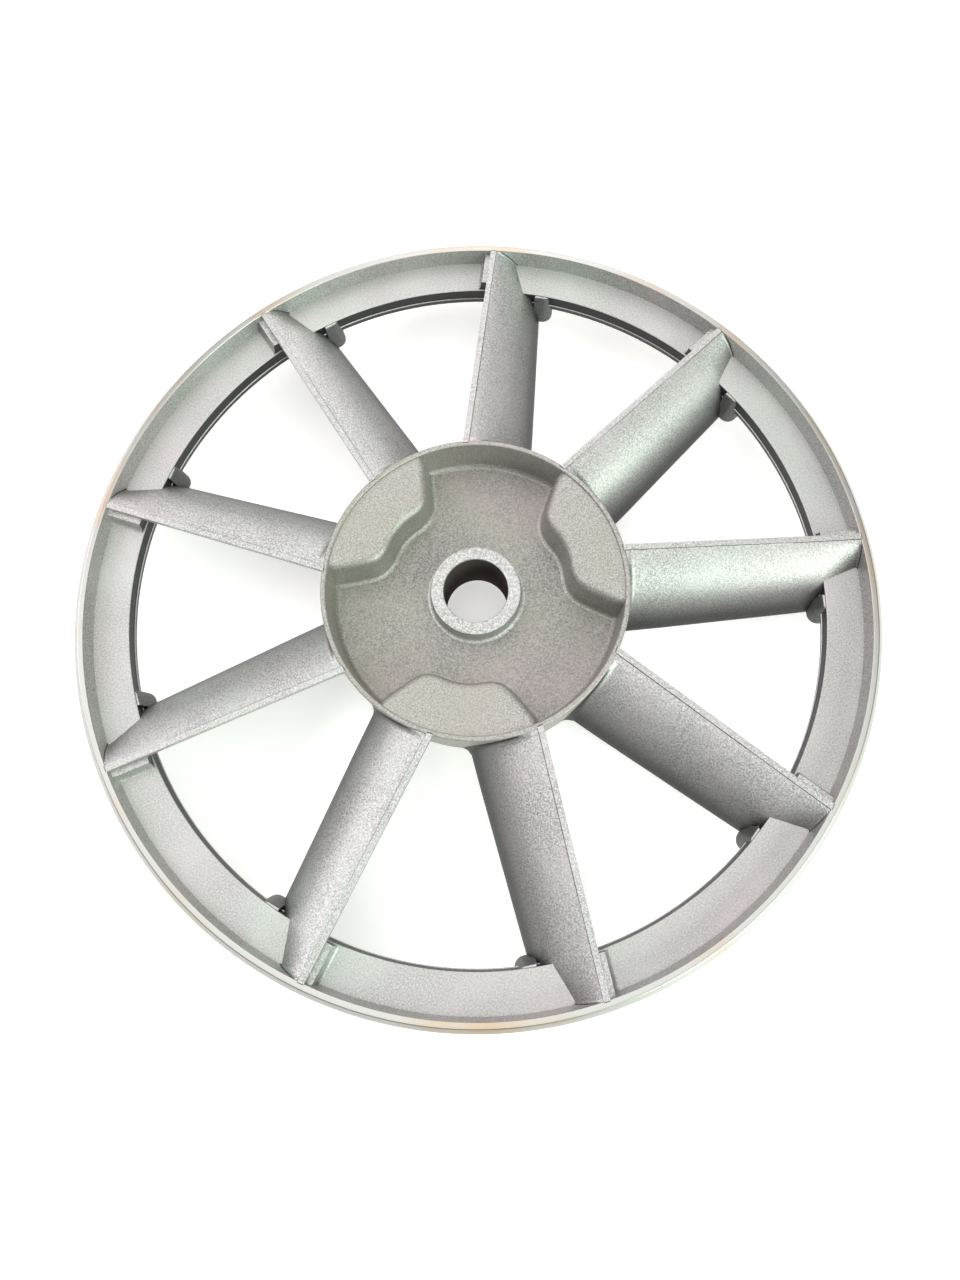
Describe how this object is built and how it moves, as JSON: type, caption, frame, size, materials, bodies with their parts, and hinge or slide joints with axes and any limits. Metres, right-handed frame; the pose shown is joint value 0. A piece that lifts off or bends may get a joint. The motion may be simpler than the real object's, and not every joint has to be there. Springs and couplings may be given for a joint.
{
  "type": "flywheel",
  "caption": "Cast aluminium flywheel with a belt rim, pitched fan blades, a dished hub with bosses and a plain bore.",
  "frame": {"origin": "on the bore axis, in the plane of the collar's back end face", "axes": "+Z along the bore axis towards the bladed front, +Y along blade 1"},
  "size_m": [0.3048, 0.3048, 0.0405],
  "materials": {
    "turned_rim": "lathe-turned front face and belt track, cast inner wall",
    "bore_collar": "faced and bored casting",
    "cast_blades": "shot-blasted casting",
    "cast_flange": "shot-blasted casting",
    "cast_hub": "shot-blasted casting"
  },
  "bodies": {
    "root": {"rim": "turned_rim", "hub_cup": "cast_hub", "bore_collar": "bore_collar", "blade_1": "cast_blades", "blade_2": "cast_blades", "blade_3": "cast_blades", "blade_4": "cast_blades", "blade_5": "cast_blades", "blade_6": "cast_blades", "blade_7": "cast_blades", "blade_8": "cast_blades", "blade_9": "cast_blades", "rim_flange_1": "cast_flange", "rim_flange_2": "cast_flange", "rim_flange_3": "cast_flange", "rim_flange_4": "cast_flange", "rim_flange_5": "cast_flange", "rim_flange_6": "cast_flange", "rim_flange_7": "cast_flange", "rim_flange_8": "cast_flange", "rim_flange_9": "cast_flange", "hub_boss_1": "cast_hub", "hub_boss_2": "cast_hub", "hub_boss_3": "cast_hub"}
  },
  "joints": []
}
